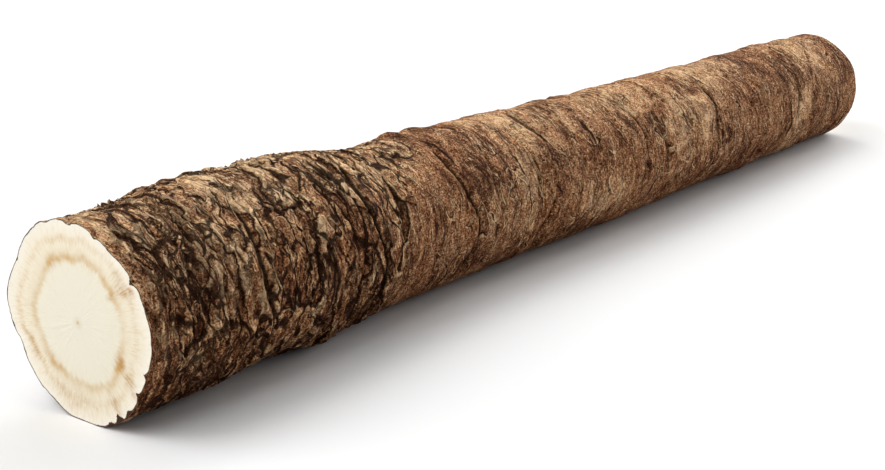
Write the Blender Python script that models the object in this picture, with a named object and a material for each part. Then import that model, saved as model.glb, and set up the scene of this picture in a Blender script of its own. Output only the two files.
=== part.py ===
"""Burdock root: one cut length of a grown root, lying on its side.

Frame: +X runs along the root from the crown cut to the tail cut, +Z is up, and the origin is
at the bottom centre of the whole. Units are metres.

A place on the bark is given by two numbers:
  share  how far along the root it lies, 0 at the crown cut and 1 at the tail cut
  turn   how far round the root it lies, 0 below, 0.25 at -Y, 0.5 on top and 0.75 at +Y
"""
import math

import bmesh
import bpy
import numpy as np

# Driving dimensions
LENGTH = 0.250
TAPER_START_RADIUS = 0.01735
TAIL_RADIUS = 0.01305

# The craggy first quarter stands out past the plain taper
SWELL_AT_CUT = 0.0008
SWELL_HEIGHT = 0.0016
SWELL_FULL_SHARE = 0.08
SWELL_END_SHARE = 0.20
SWELL_END_RUN = 0.13
SWELL_SIDE_TURN = 0.17
SWELL_ONE_SIDED = 0.10

# The axis leans a little to +Y past the craggy part
LEAN_OFFSET = 0.0020
LEAN_SHARE = 0.37
LEAN_RUN = 0.15

# The tail's rim is worn round
RIM_RUN = 0.006
RIM_WEAR = 0.015

# Section of the crown cut: its radius as a share of the mean, at 12 even turns from below
CROWN_LOBES = (1.025, 1.020, 0.985, 1.010, 1.015, 0.960, 1.000, 1.022, 0.990, 1.020, 0.964, 0.985)
TAIL_LOBES = (1.000, 1.012, 0.985, 0.992, 1.018, 0.985, 1.005, 1.012, 0.980, 1.008, 1.014, 0.990)

# Relief of the bark
LAYER_HEIGHT = 0.00120
LAYER_STEPS = 2.2
FOLD_HEIGHT = 0.00085
SCALE_HEIGHT = 0.00160
LUMP_HEIGHT = 0.00050
WRINKLE_HEIGHT = 0.00055
CRAGGY_SINK = 0.00025
CRAGGY_END_SHARE = 0.250
CRAGGY_TOP_REACH = 0.075
CRAGGY_FADE = 0.040
FURROW_HALF_WIDTH = 0.0019
CORD_HALF_WIDTH = 0.0013

# The bark is calmer just behind each cut
CUT_CALM_RUN = 0.0016
CUT_CALM_FLOOR = 0.45

# Furrows that run part of the way round: share, first turn, last turn, depth
FURROWS = (
    (0.047, 0.10, 0.47, 0.0006),
    (0.080, 0.14, 0.46, 0.0006),
    (0.116, 0.08, 0.44, 0.0007),
    (0.150, 0.62, 0.93, 0.0007),
    (0.208, 0.26, 0.42, 0.0006),
    (0.243, 0.08, 0.46, 0.0013),
    (0.262, 0.60, 0.92, 0.0010),
    (0.278, 0.27, 0.36, 0.0006),
    (0.365, 0.10, 0.47, 0.0007),
    (0.405, 0.24, 0.40, 0.0005),
    (0.452, 0.26, 0.36, 0.0006),
    (0.487, 0.37, 0.52, 0.0007),
    (0.470, 0.13, 0.26, 0.0006),
    (0.520, 0.58, 0.80, 0.0006),
    (0.603, 0.24, 0.44, 0.0006),
    (0.632, 0.20, 0.36, 0.0005),
    (0.690, 0.66, 0.94, 0.0006),
    (0.729, 0.26, 0.41, 0.0007),
    (0.796, 0.22, 0.34, 0.0005),
    (0.880, 0.22, 0.36, 0.0006),
    (0.908, 0.38, 0.54, 0.0006),
    (0.850, 0.60, 0.84, 0.0006),
)

# Raised cords that run part of the way round: share, first turn, last turn, height
CORDS = (
    (0.033, 0.20, 0.46, 0.00045),
    (0.056, 0.12, 0.44, 0.00055),
    (0.071, 0.16, 0.47, 0.00050),
    (0.089, 0.20, 0.42, 0.00045),
    (0.107, 0.10, 0.40, 0.00060),
    (0.124, 0.24, 0.46, 0.00060),
    (0.140, 0.14, 0.34, 0.00045),
    (0.166, 0.60, 0.90, 0.00060),
    (0.188, 0.24, 0.40, 0.00045),
    (0.221, 0.12, 0.30, 0.00050),
    (0.234, 0.20, 0.47, 0.00060),
    (0.098, 0.62, 0.92, 0.00055),
    (0.054, 0.56, 0.86, 0.00050),
)

# Knobs and dents: share, turn, height, half width
KNOBS = (
    (0.055, 0.550, -0.0014, 0.0070),
    (0.145, 0.085, -0.0011, 0.0090),
    (0.205, 0.080, 0.0007, 0.0040),
    (0.086, 0.575, 0.0007, 0.0022),
    (0.362, 0.570, 0.0013, 0.0028),
    (0.392, 0.572, 0.0010, 0.0028),
    (0.575, 0.200, 0.0008, 0.0028),
    (0.585, 0.590, 0.0007, 0.0028),
    (0.470, 0.780, 0.0009, 0.0028),
    (0.760, 0.640, 0.0007, 0.0028),
)

# The underside is pressed flat where the root lies
FLAT_CUT = 0.00040
UNDERSIDE_HALF_TURN = 0.075
UNDERSIDE_CALM = 0.80

# Facets
SECTORS = 52
RINGS = 112
CRAGGY_RING_SHARE = 0.46
CRAGGY_RING_END = 0.30

BARK_COLOUR = (0.133, 0.068, 0.035, 1.0)
BARK_ROUGHNESS = 0.85


def smooth(x):
    """Rise from 0 at x = 0 to 1 at x = 1 with level ends."""
    x = np.clip(x, 0.0, 1.0)
    return x * x * (3.0 - 2.0 * x)


def turn_gap(turn, middle):
    """Shortest way round from a middle turn, between -0.5 and 0.5."""
    return (turn - middle + 0.5) % 1.0 - 0.5


def ring_noise(turn, share, around, along, seed):
    """Smooth noise between about -1 and 1 that closes round the root.

    Random slopes stand at the corners of a lattice with so many cells around and along, and
    each point blends the four planes that its corners carry.
    """
    slopes = np.random.default_rng(seed).uniform(-1.6, 1.6, (along + 2, around, 2))
    across = (turn % 1.0) * around
    down = share * along
    i = np.floor(across).astype(int)
    j = np.clip(np.floor(down).astype(int), 0, along)
    fa = across - i
    fd = down - j

    def corner(di, dj):
        slope = slopes[j + dj, (i + di) % around]
        return slope[..., 0] * (fa - di) + slope[..., 1] * (fd - dj)

    wa = smooth(fa)
    wd = smooth(fd)
    near = corner(0, 0) * (1.0 - wa) + corner(1, 0) * wa
    far = corner(0, 1) * (1.0 - wa) + corner(1, 1) * wa
    return near * (1.0 - wd) + far * wd


def swelling(share):
    """How far the craggy part stands out past the taper, on the mean of a turn."""
    rise = smooth(share / SWELL_FULL_SHARE)
    fall = 1.0 - smooth((share - SWELL_END_SHARE) / SWELL_END_RUN)
    return (SWELL_AT_CUT + (SWELL_HEIGHT - SWELL_AT_CUT) * rise) * fall


def root_radius(share):
    """Mean radius: a straight taper, the swelling of the craggy part and the worn tail rim."""
    taper = TAPER_START_RADIUS + (TAIL_RADIUS - TAPER_START_RADIUS) * share
    wear = RIM_WEAR * smooth((share - 1.0 + RIM_RUN) / RIM_RUN) ** 2
    return (taper + swelling(share)) * (1.0 - wear)


def section_lobes(turn, share):
    """Radius share of the uneven section, blended from the crown's lobes to the tail's."""
    steps = turn % 1.0 * len(CROWN_LOBES)
    i = np.floor(steps).astype(int)
    blend = smooth(steps - i)

    def at(lobes):
        values = np.array(lobes)
        return values[i % len(lobes)] * (1.0 - blend) + values[(i + 1) % len(lobes)] * blend

    return at(CROWN_LOBES) * (1.0 - share) + at(TAIL_LOBES) * share


def craggy_weight(turn, share):
    """1 on the craggy first quarter, 0 past it; it reaches further along on top."""
    top = np.clip(-np.cos(2.0 * math.pi * turn), 0.0, 1.0) ** 2
    end = CRAGGY_END_SHARE + CRAGGY_TOP_REACH * top + 0.012 * ring_noise(turn, share, 9, 12, 3)
    return 1.0 - smooth((share - end) / CRAGGY_FADE)


def arc_profile(turn, share, arcs, half_width):
    """Bells across a list of part-round arcs, each times its size and faded at its ends."""
    size = np.zeros(np.shape(turn + share))
    for place, first, last, tall in arcs:
        middle = 0.5 * (first + last)
        half = 0.5 * (last - first)
        way = turn_gap(turn, middle)
        sway = 0.0016 * np.sin(2.0 * math.pi * (3.0 * turn + 7.0 * place))
        across = ((share - place) * LENGTH - sway) / half_width
        ends = 1.0 - smooth((np.abs(way) - 0.7 * half) / (0.3 * half + 0.02))
        size = np.maximum(size, tall * np.exp(-across ** 2) * ends)
    return size


def knob_height(turn, share):
    """Height of the knobs and dents: a round bell at each place."""
    height = np.zeros(np.shape(turn + share))
    for place, middle, tall, half_width in KNOBS:
        across = turn_gap(turn, middle) * 2.0 * math.pi * root_radius(np.array(place))
        gap = np.hypot(across, (share - place) * LENGTH) / half_width
        height = height + tall * np.exp(-gap ** 2)
    return height


def craggy_relief(turn, share, bent_turn, bent_share):
    """Height of the craggy bark: folds, long scales with valleys between them, torn layers.

    A scale's top is flat and falls steeply where its noise crosses 0. A layer climbs with its
    noise and drops where that passes a whole number.
    """
    torn_turn = bent_turn + 0.010 * ring_noise(turn, share, 26, 80, 7)
    layer = LAYER_STEPS * ring_noise(bent_turn, bent_share, 8, 32, 11)
    layer_rise = layer - np.floor(layer)
    layer_patch = smooth(0.45 + ring_noise(turn, share, 7, 22, 15))
    scale = ring_noise(torn_turn, bent_share, 9, 64, 16)
    scale_top = 1.0 - np.exp(-np.abs(scale) / 0.22)
    scale_patch = smooth(0.60 + 1.1 * ring_noise(turn, share, 8, 26, 18))
    height = FOLD_HEIGHT * ring_noise(bent_turn, bent_share, 6, 40, 22)
    height = height + LAYER_HEIGHT * (layer_rise - 0.5) * layer_patch
    return height + SCALE_HEIGHT * (scale_top - 0.7) * scale_patch - CRAGGY_SINK


def bark_relief(turn, share):
    """Height of the bark over the mean radius.

    Past the craggy part the bark has low lumps and ring wrinkles. Furrows, cords and knobs go
    on both, and all of it is calmer on the underside and at the cuts.
    """
    craggy = craggy_weight(turn, share)
    bent_turn = turn + 0.030 * ring_noise(turn, share, 9, 30, 5)
    bent_share = share + 0.010 * ring_noise(turn, share, 10, 30, 6)
    rough = craggy_relief(turn, share, bent_turn, bent_share)
    plain = LUMP_HEIGHT * ring_noise(turn, share, 7, 16, 13)
    plain = plain + WRINKLE_HEIGHT * ring_noise(bent_turn, bent_share, 5, 34, 14)
    relief = craggy * rough + (1.0 - craggy) * plain + knob_height(turn, share)
    relief = relief + arc_profile(turn, share, CORDS, CORD_HALF_WIDTH)
    relief = relief - arc_profile(turn, share, FURROWS, FURROW_HALF_WIDTH)
    below = np.exp(-(turn_gap(turn, 0.0) / UNDERSIDE_HALF_TURN) ** 2)
    near_cut = smooth(np.minimum(share, 1.0 - share) * LENGTH / CUT_CALM_RUN)
    calm = CUT_CALM_FLOOR + (1.0 - CUT_CALM_FLOOR) * near_cut
    return relief * (1.0 - UNDERSIDE_CALM * below) * calm


def root_surface(turn, share):
    """Points of the bark, before the whole is centred: rings round a leaning, tapering axis."""
    radius = root_radius(share)
    side = SWELL_ONE_SIDED * np.cos(2.0 * math.pi * (turn - SWELL_SIDE_TURN))
    reach = radius * section_lobes(turn, share) + swelling(share) * side
    reach = reach + bark_relief(turn, share)
    angle = 2.0 * math.pi * turn
    lean = LEAN_OFFSET * np.exp(-((share - LEAN_SHARE) / LEAN_RUN) ** 2)
    lowest = section_lobes(np.zeros_like(share), share)
    x = (share - 0.5) * LENGTH
    y = lean - reach * np.sin(angle)
    z = radius * lowest - FLAT_CUT - reach * np.cos(angle)
    return np.stack([x, y, np.maximum(z, 0.0)], axis=-1)


def ring_share(step):
    """Share of the length of each ring: the rings stand closer on the craggy part."""
    return np.interp(step, (0.0, CRAGGY_RING_SHARE, 1.0), (0.0, CRAGGY_RING_END, 1.0))


def bark_material():
    """Dull brown bark."""
    material = bpy.data.materials.new("root_bark")
    material.use_nodes = True
    shader = material.node_tree.nodes["Principled BSDF"]
    shader.inputs["Base Color"].default_value = BARK_COLOUR
    shader.inputs["Roughness"].default_value = BARK_ROUGHNESS
    shader.inputs["Metallic"].default_value = 0.0
    material.diffuse_color = BARK_COLOUR
    return material


def burdock_root():
    """A plain capped cylinder, cut into rings, with every point moved onto the root's surface."""
    shape = bmesh.new()
    bmesh.ops.create_cone(shape, cap_ends=True, cap_tris=False, segments=SECTORS,
                          radius1=1.0, radius2=1.0, depth=1.0)
    long_edges = [e for e in shape.edges if abs(e.verts[0].co.z - e.verts[1].co.z) > 0.5]
    bmesh.ops.subdivide_edges(shape, edges=long_edges, cuts=RINGS - 1, use_grid_fill=True)
    mesh = bpy.data.meshes.new("burdock_root")
    shape.to_mesh(mesh)
    shape.free()

    place = np.empty(len(mesh.vertices) * 3)
    mesh.vertices.foreach_get("co", place)
    place = place.reshape(-1, 3)
    share = ring_share(place[:, 2] + 0.5)
    turn = np.arctan2(-place[:, 0], -place[:, 1]) / (2.0 * math.pi) % 1.0
    surface = root_surface(turn, share)
    surface[:, 1] -= 0.5 * (surface[:, 1].min() + surface[:, 1].max())
    mesh.vertices.foreach_set("co", surface.ravel())
    mesh.shade_smooth()
    mesh.set_sharp_from_angle(angle=math.radians(60.0))
    mesh.materials.append(bark_material())
    mesh.update()
    return bpy.data.objects.new("burdock_root", mesh)


def build():
    """Clear the scene and put the root in its own collection."""
    for old in list(bpy.data.objects):
        bpy.data.objects.remove(old)
    group = bpy.data.collections.new("burdock_root_piece")
    bpy.context.scene.collection.children.link(group)
    group.objects.link(burdock_root())


build()
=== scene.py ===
"""Burdock root, the looks: craggy and ring-wrinkled bark, pale cut flesh, floor, light and camera.

Lengths are in metres. A place on the bark is given by two numbers:
  share  how far along the root it lies, 0 at the crown cut and 1 at the tail cut
  turn   how far round the root it lies, 0 below, 0.25 at -Y, 0.5 on top and 0.75 at +Y
"""
import math
from functools import partialmethod

import bpy
import numpy as np
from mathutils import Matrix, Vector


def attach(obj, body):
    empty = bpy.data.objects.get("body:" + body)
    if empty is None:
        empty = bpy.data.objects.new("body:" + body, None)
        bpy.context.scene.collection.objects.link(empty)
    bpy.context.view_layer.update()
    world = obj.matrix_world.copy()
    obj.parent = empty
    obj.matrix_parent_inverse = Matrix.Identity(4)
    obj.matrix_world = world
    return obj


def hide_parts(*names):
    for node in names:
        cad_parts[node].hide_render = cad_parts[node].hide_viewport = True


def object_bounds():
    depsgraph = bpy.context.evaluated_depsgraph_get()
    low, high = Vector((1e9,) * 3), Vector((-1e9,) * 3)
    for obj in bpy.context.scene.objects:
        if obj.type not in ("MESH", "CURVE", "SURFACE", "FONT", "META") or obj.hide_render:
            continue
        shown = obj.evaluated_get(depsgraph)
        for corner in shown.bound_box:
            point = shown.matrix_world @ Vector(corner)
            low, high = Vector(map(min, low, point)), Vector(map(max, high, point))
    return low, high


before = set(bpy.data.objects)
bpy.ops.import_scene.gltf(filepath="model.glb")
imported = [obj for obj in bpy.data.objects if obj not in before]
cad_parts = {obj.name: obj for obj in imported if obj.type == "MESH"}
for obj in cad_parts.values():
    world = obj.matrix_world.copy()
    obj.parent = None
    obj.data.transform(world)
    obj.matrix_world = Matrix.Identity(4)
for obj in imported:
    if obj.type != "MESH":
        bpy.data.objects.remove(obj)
cad_low, cad_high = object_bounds()
scene = bpy.context.scene

MM = 0.001

# The root's own measures
LENGTH = cad_high[0] - cad_low[0]
TAPER_START_RADIUS = 0.01735
TAIL_RADIUS = 0.01305
SWELL_AT_CUT = 0.0008
SWELL_HEIGHT = 0.0016
SWELL_FULL_SHARE = 0.08
SWELL_END_SHARE = 0.2
SWELL_END_RUN = 0.13
SWELL_SIDE_TURN = 0.17
SWELL_ONE_SIDED = 0.1
LEAN_OFFSET = 0.002
LEAN_SHARE = 0.37
LEAN_RUN = 0.15
RIM_RUN = 0.006
RIM_WEAR = 0.015
CROWN_LOBES = (1.025, 1.02, 0.985, 1.01, 1.015, 0.96, 1.0, 1.022, 0.99, 1.02, 0.964, 0.985)
TAIL_LOBES = (1.0, 1.012, 0.985, 0.992, 1.018, 0.985, 1.005, 1.012, 0.98, 1.008, 1.014, 0.99)
FLAT_CUT = 0.0004
UNDERSIDE_HALF_TURN = 0.075
UNDERSIDE_CALM = 0.8
AXIS_SHIFT = 0.000151

# Bark relief
CRAGGY_END_SHARE = 0.25
CRAGGY_TOP_REACH = 0.075
CRAGGY_FADE = 0.04
LAYER_HEIGHT = 0.0005
SCALE_HEIGHT = 0.00056
FLAKE_HEIGHT = 0.0005
PLAIN_FLAKE = 0.00022
RIDGE_SHARE = 0.085
SINK = 0.00025
CREST_TURN = 0.575
CREST_HALF_TURN = 0.045
CREST_ROUGH = 0.8
CREST_SINK = 0.0005
CUT_CALM_RUN = 0.0016
CUT_CALM_FLOOR = 0.28
NOTCH_RUN = 0.0022

# Shape across a torn edge: run of the lip and of the step, depth of the foot, and the mean
LIP_RUN = 0.7
STEP_RUN = 0.06
FOOT_DEPTH = 0.4
EDGE_MEAN = 0.29
SCALE_TRENCH = 0.1
FLAKE_TRENCH = 0.14
# Widths of the cracks at a torn edge: least, what patches add, and its share on plain bark
SCALE_CRACKS = (0.015, 0.11, 0.1)
FLAKE_CRACKS = (0.012, 0.14, 0.08)
PLAIN_LAYER = 0.08

STEEPEST = 1.6
# Noises of the bark: cells round the root, cells along it, seed, size in turns, in shares of
# the length, in metres or in levels of an edge
CRAGGY_EDGE = (9, 12, 3, 0.012)
BEND_TURN = (9, 30, 5, 0.03)
BEND_SHARE = (10, 30, 6, 0.01)
TEAR_TURN = ((26, 80, 7, 0.01), (60, 150, 9, 0.005))
TEAR_SHARE = ((28, 90, 8, 0.0036), (64, 170, 10, 0.0018))
PALE_EDGE = ((26, 60, 31, 0.9), (60, 140, 32, 0.5))
LAYER = (8, 32, 11, 2.2)
LAYER_TEAR = (26, 90, 12, 0.7)
SCALE = (9, 64, 16, 1.0)
SCALE_TEAR = (30, 120, 17, 0.28)
FLAKE = ((20, 140, 21, 1.0), (52, 240, 27, 0.35))
FOLD = (6, 40, 22, 0.00032)
LUMP = (7, 16, 13, 0.0005)
WRINKLE = (5, 34, 14, 0.00055)
FINE_WRINKLE = (9, 150, 24, 0.00016)
GRAIN = (90, 210, 26, 0.00007)
RIDGE = (14, 300, 29, 0.0003)
SCALLOP = (48, 4, 62, 0.0001)
RIND_NOISE = (40, 1, 61, 0.007)
RIND_WIDTH = 0.01
# Where layers, scales and flakes show: a start and a noise
LAYER_PATCH = (0.45, (7, 22, 15, 1.0))
SCALE_PATCH = (0.6, (8, 26, 18, 1.1))
FLAKE_PATCH = (0.55, (12, 40, 28, 1.1))

# Slits in the skin: their number, and the limits of the random draws for each
SLIT_COUNT = 230
SLIT_SEED = 42
SLIT_PLACES = (0.02, 0.985)
SLIT_HALF_TURNS = (0.012, 0.055)
SLIT_SHARES = (0.5, 1.0)
SLIT_SLANT = 0.12
SLIT_BEND = 0.25
SLIT_DEPTHS = (0.00015, 0.00055)
SLIT_HALF_WIDTHS = (0.0002475, 0.00055)
SLIT_REACH = 0.005
SLIT_FULL_WAY = 0.4

# Part-round arcs: half width, how far they wander, and the seed; what share of each shows;
# how they sway and where they fade
FURROW_ARC = (0.0008, 0.0007, 71)
FURROW_SHARE = 0.8
CORD_ARC = (0.0007, 0.0009, 72)
CORD_SHARE = 0.75
ARC_SWAY = 0.0016
ARC_SWAYS = 3.0
ARC_SWAY_SHIFT = 7.0
ARC_FULL = 0.7
ARC_FADE = 0.02
ARC_CELLS = (18, 40)
# Depth at which a furrow or a slit takes its full painted shade, and height at which a cord takes
# its full painted highlight
FURROW_FULL = 0.00064
SLIT_FULL = 0.0004
CORD_FULL = 0.0004

# Furrows that run part of the way round: share, first turn, last turn, depth in mm
FURROWS = (
    (0.047, 0.1, 0.47, 0.4), (0.08, 0.14, 0.46, 0.5), (0.116, 0.08, 0.44, 0.9),
    (0.15, 0.62, 0.93, 0.8), (0.208, 0.26, 0.42, 0.8), (0.243, 0.08, 0.46, 1.5),
    (0.262, 0.6, 0.92, 1.2), (0.278, 0.27, 0.36, 0.7), (0.365, 0.1, 0.47, 0.8),
    (0.405, 0.24, 0.4, 0.6), (0.452, 0.26, 0.36, 0.7), (0.487, 0.37, 0.52, 0.8),
    (0.47, 0.13, 0.26, 0.7), (0.52, 0.58, 0.8, 0.7), (0.603, 0.24, 0.44, 0.7),
    (0.632, 0.2, 0.36, 0.6), (0.69, 0.66, 0.94, 0.7), (0.729, 0.26, 0.41, 0.8),
    (0.796, 0.22, 0.34, 0.6), (0.88, 0.22, 0.36, 0.7), (0.908, 0.38, 0.54, 0.7),
    (0.85, 0.6, 0.84, 0.7),
)
# Raised cords: share, first turn, last turn, height in mm
CORDS = (
    (0.033, 0.2, 0.46, 0.45), (0.056, 0.12, 0.44, 0.55), (0.071, 0.16, 0.47, 0.5),
    (0.089, 0.2, 0.42, 0.45), (0.107, 0.1, 0.4, 0.7), (0.124, 0.24, 0.46, 0.85),
    (0.14, 0.14, 0.34, 0.45), (0.166, 0.6, 0.9, 0.6), (0.188, 0.24, 0.4, 0.45),
    (0.221, 0.12, 0.3, 0.5), (0.234, 0.2, 0.47, 0.75), (0.098, 0.62, 0.92, 0.55),
    (0.054, 0.56, 0.86, 0.5),
)
# Knobs and dents: share, turn, height and half width in mm
KNOBS = (
    (0.055, 0.55, -1.4, 7.0), (0.145, 0.085, -1.1, 9.0), (0.205, 0.08, 0.7, 4.0),
    (0.03, 0.575, 0.3, 1.6), (0.086, 0.575, 0.7, 2.2), (0.112, 0.575, 0.8, 1.8),
    (0.135, 0.57, 0.9, 1.8), (0.158, 0.575, 0.8, 1.8), (0.186, 0.572, 0.7, 2.4),
    (0.216, 0.57, 0.5, 2.0), (0.362, 0.57, 1.3, 2.8), (0.392, 0.572, 1.0, 2.8),
    (0.575, 0.2, 0.8, 2.8), (0.585, 0.59, 0.7, 2.8), (0.47, 0.78, 0.9, 2.8),
    (0.76, 0.64, 0.7, 2.8),
)

# Pale patches of bark: how ragged, full core and fade, in half sizes; then share, turn, half
# length along and half width round in mm
PALE_RAGGED = 0.55
PALE_CORE = 0.55
PALE_FADE = 0.9
PALE_PATCHES = (
    (0.115, 0.47, 3.5, 6.0), (0.44, 0.3, 3.5, 12.0), (0.545, 0.21, 8.0, 5.0),
    (0.48, 0.47, 16.0, 8.0), (0.62, 0.48, 14.0, 9.0), (0.69, 0.33, 11.0, 8.0),
    (0.76, 0.5, 12.0, 9.0), (0.885, 0.22, 5.0, 11.0), (0.93, 0.49, 10.0, 9.0),
    (0.4, 0.72, 11.0, 8.0), (0.6, 0.86, 13.0, 7.0), (0.8, 0.76, 12.0, 9.0),
)

# Tan rings of the crown cut, at 24 even turns from below: share of the way out, and strength
RINGS = {
    "inner_ring": (
        0.61, 0.62, 0.64, 0.64, 0.635, 0.61, 0.61, 0.63, 0.63, 0.64, 0.7, 0.67,
        0.635, 0.62, 0.62, 0.61, 0.6, 0.6, 0.605, 0.615, 0.63, 0.63, 0.62, 0.605),
    "inner_strength": (
        0.45, 0.5, 0.6, 0.7, 1.0, 0.6, 0.28, 0.2, 0.6, 0.75, 0.65, 0.6,
        0.65, 0.9, 0.95, 0.8, 0.6, 0.5, 0.5, 0.5, 0.65, 0.8, 0.75, 0.6),
    "outer_ring": (
        0.78, 0.8, 0.82, 0.82, 0.81, 0.8, 0.8, 0.8, 0.84, 0.89, 0.89, 0.86,
        0.84, 0.82, 0.82, 0.82, 0.82, 0.83, 0.84, 0.86, 0.82, 0.79, 0.82, 0.8),
    "outer_strength": (
        0.35, 0.3, 0.4, 0.45, 0.6, 0.4, 0.3, 0.3, 0.5, 0.5, 0.4, 0.4,
        0.55, 0.6, 0.7, 0.5, 0.4, 0.55, 0.65, 0.6, 0.95, 0.75, 0.6, 0.5),
}
# Tan stains on the cuts: turn, share of the way out, half width in turns, half height, strength
CROWN_STAINS = (
    (0.353, 0.63, 0.01, 0.04, 1.0), (0.35, 0.79, 0.016, 0.06, 0.75),
    (0.34, 0.88, 0.012, 0.05, 0.8), (0.372, 0.82, 0.014, 0.05, 0.45),
    (0.18, 0.65, 0.018, 0.06, 0.95), (0.164, 0.81, 0.008, 0.09, 0.7),
    (0.152, 0.93, 0.007, 0.07, 0.75), (0.094, 0.84, 0.008, 0.12, 0.65),
    (0.82, 0.83, 0.014, 0.04, 0.85), (0.845, 0.82, 0.014, 0.05, 0.8),
    (0.59, 0.62, 0.026, 0.03, 0.6), (0.89, 0.63, 0.03, 0.04, 0.5),
    (0.98, 0.8, 0.06, 0.13, 0.3),
)
TAIL_STAINS = (
    (0.21, 0.8, 0.03, 0.16, 0.8), (0.7, 0.72, 0.1, 0.12, 0.5), (0.45, 0.78, 0.06, 0.08, 0.4),
)
# Bark over the edge of the crown cut: turn, half width in turns, share of the radius
NICKS = (
    (0.197, 0.004, 0.035), (0.156, 0.004, 0.045), (0.114, 0.008, 0.06),
    (0.088, 0.008, 0.095), (0.064, 0.006, 0.05), (0.35, 0.006, 0.055),
    (0.45, 0.004, 0.04), (0.79, 0.004, 0.03), (0.672, 0.005, 0.022),
)
# Dents in the edge of the crown cut: turn, half width in turns, depth in mm
NOTCHES = (
    (0.508, 0.009, 0.6), (0.45, 0.007, 0.4), (0.35, 0.009, 0.6),
    (0.2, 0.006, 0.5), (0.156, 0.006, 0.4), (0.672, 0.022, 0.4),
    (0.819, 0.014, 0.4), (0.561, 0.01, 0.4), (0.267, 0.03, -0.4),
    (0.744, 0.03, -0.4),
)

# Faces of the cuts: how their rings bunch up; grooves: share of the way out, half width,
# strength; depths of the grooves and of the radial combing
CAP_BUNCH = 0.8
GROOVES = ((0.62, 0.035, 1.0), (0.85, 0.03, 0.7))
GROOVE_DEPTH = 0.00007
COMBING_DEPTH = 0.00004
COMBING_CELLS = (48, 5)
COMBING_START = 0.2
CROWN_SEED = 51
TAIL_SEED = 52

# Paler top of the craggy part, partly paler bark and partly painted light from above: its start
# and fade, from 0 at the sides to 1 on top
PALE_LIT_TOP_START = 0.25
PALE_LIT_TOP_FADE = 0.6
# Facets
SECTORS = 192
CRAGGY_ROWS = 245
PLAIN_ROWS = 222
CRAGGY_ROW_END = 0.3
CAP_RINGS = 20
SHARP_DEGREES = 80.0

# Floor
FLOOR_HALF = 3.0
FLOOR_WHITE = (0.82, 0.82, 0.82, 1.0)
FLOOR_ROUGHNESS = 0.9
FLOOR_GLOSS = 0.1

# Flat layout of the skin in a square: margin, the bark's strip, and height, half size, side
# and place of the cuts' discs
FLAT_MARGIN = 0.005
FLAT_STRIP = 0.46
FLAT_DISC_UP = 0.735
FLAT_DISC_HALF = 0.23
FLAT_DISCS = ((-1.0, 0.25), (1.0, 0.75))

# The photograph's camera: a long lens looking down on the crown cut
CAMERA_PLACE = (-0.3312, -0.251, 0.1386)
CAMERA_YAW = 0.6909
CAMERA_PITCH = 0.3173
LENS_MM = 81.36
SENSOR_MM = 36.0

# Surround, and soft boxes: bearing from +X towards +Y and height in degrees, power in watts
SURROUND = 0.02
SOFTBOX_SIZE = 0.75
SOFTBOX_REACH = 1.1
SOFTBOXES = (
    (0.0, 20.0, 12.8), (45.0, 50.0, 4.9), (135.0, 20.0, 4.6),
    (135.0, 50.0, 4.9), (180.0, 20.0, 2.0), (180.0, 50.0, 4.4),
    (315.0, 20.0, 2.9),
)


def linear(red, green, blue):
    """Scene-linear colour of an sRGB colour given in steps of 255, with full alpha."""
    shades = np.array([red, green, blue]) / 255.0
    light = np.where(shades <= 0.04045, shades / 12.92, ((shades + 0.055) / 1.055) ** 2.4)
    return (*light.tolist(), 1.0)


def smooth(x):
    """Rise from 0 at x = 0 to 1 at x = 1 with level ends."""
    x = np.clip(x, 0.0, 1.0)
    return x * x * (3.0 - 2.0 * x)


def turn_gap(turn, middle):
    """Shortest way round from a middle turn, between -0.5 and 0.5."""
    return (turn - middle + 0.5) % 1.0 - 0.5


def ring_noise(turn, share, around, along, seed):
    """Smooth noise between about -1 and 1 that closes round the root.

    Random slopes stand at the corners of a lattice with so many cells around and along. Each
    point blends the four planes of its corners.
    """
    slopes = np.random.default_rng(seed).uniform(-STEEPEST, STEEPEST, (along + 2, around, 2))
    across = (turn % 1.0) * around
    down = share * along
    i = np.floor(across).astype(int)
    j = np.clip(np.floor(down).astype(int), 0, along)
    fa = across - i
    fd = down - j

    def corner(di, dj):
        slope = slopes[j + dj, (i + di) % around]
        return slope[..., 0] * (fa - di) + slope[..., 1] * (fd - dj)

    wa = smooth(fa)
    wd = smooth(fd)
    near = corner(0, 0) * (1.0 - wa) + corner(1, 0) * wa
    far = corner(0, 1) * (1.0 - wa) + corner(1, 1) * wa
    return near * (1.0 - wd) + far * wd


def noise_sum(turn, share, *noises):
    """Sum of ring noises, each given as cells round, cells along, seed and size."""
    total = 0.0
    for around, along, seed, size in noises:
        total += size * ring_noise(turn, share, around, along, seed)
    return total


def patch_weight(turn, share, start, noise):
    """0 to 1: a smooth step of a start value plus a noise."""
    return smooth(start + noise_sum(turn, share, noise))


def swelling(share):
    """How far the craggy part stands out past the taper, on the mean of a turn."""
    rise = smooth(share / SWELL_FULL_SHARE)
    fall = 1.0 - smooth((share - SWELL_END_SHARE) / SWELL_END_RUN)
    return (SWELL_AT_CUT + (SWELL_HEIGHT - SWELL_AT_CUT) * rise) * fall


def root_radius(share):
    """Mean radius: a straight taper, the swelling of the craggy part and the worn tail rim."""
    taper = TAPER_START_RADIUS + (TAIL_RADIUS - TAPER_START_RADIUS) * share
    wear = RIM_WEAR * smooth((share - 1.0 + RIM_RUN) / RIM_RUN) ** 2
    return (taper + swelling(share)) * (1.0 - wear)


def around_table(turn, values):
    """A table of values at even turns from below, blended smoothly between them."""
    values = np.array(values)
    steps = turn % 1.0 * len(values)
    i = np.floor(steps).astype(int)
    blend = smooth(steps - i)
    return values[i % len(values)] * (1.0 - blend) + values[(i + 1) % len(values)] * blend


def section_lobes(turn, share):
    """Radius share of the uneven section, blended from the crown's lobes to the tail's."""
    return around_table(turn, CROWN_LOBES) * (1.0 - share) + around_table(turn, TAIL_LOBES) * share


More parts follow.
